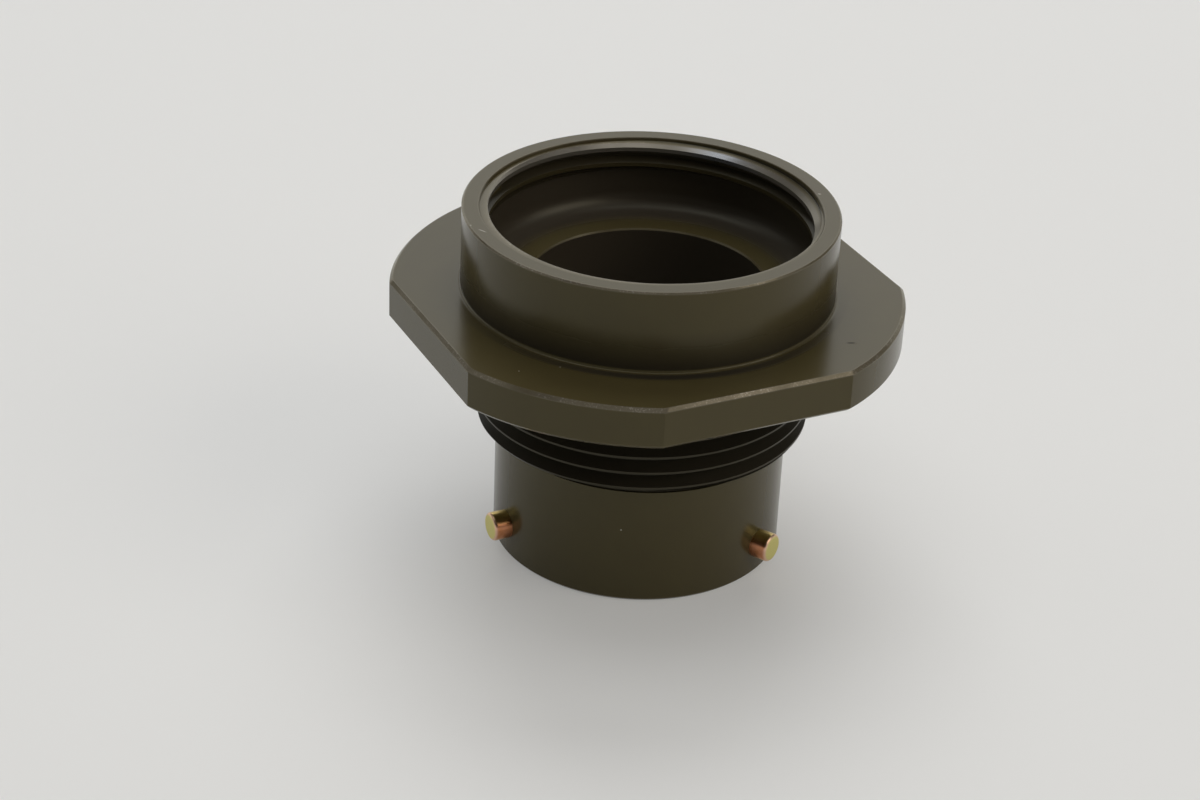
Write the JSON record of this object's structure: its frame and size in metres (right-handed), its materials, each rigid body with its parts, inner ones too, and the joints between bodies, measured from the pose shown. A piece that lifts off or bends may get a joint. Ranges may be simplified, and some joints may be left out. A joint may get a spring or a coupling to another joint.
{
  "type": "circular connector shell",
  "caption": "Bare receptacle shell of a circular connector: keyed mating barrel with bayonet pins, threaded body, flange with flats and a rear collar with a threaded socket.",
  "frame": {"origin": "centre of the mating face, which the shell stands on", "axes": "+Z along the shell's axis towards the rear collar; the flange's flats face +X, -X, +Y and -Y; the master keyway is on the +X side and one bayonet pin points along -X"},
  "size_m": [0.0356, 0.0356, 0.0273],
  "materials": {
    "plated_shell": "satin olive drab plating",
    "plated_pin": "yellow plated, turned"
  },
  "bodies": {
    "root": {"shell": "plated_shell", "bayonet_pin_1": "plated_pin", "bayonet_pin_2": "plated_pin", "bayonet_pin_3": "plated_pin"}
  },
  "joints": []
}
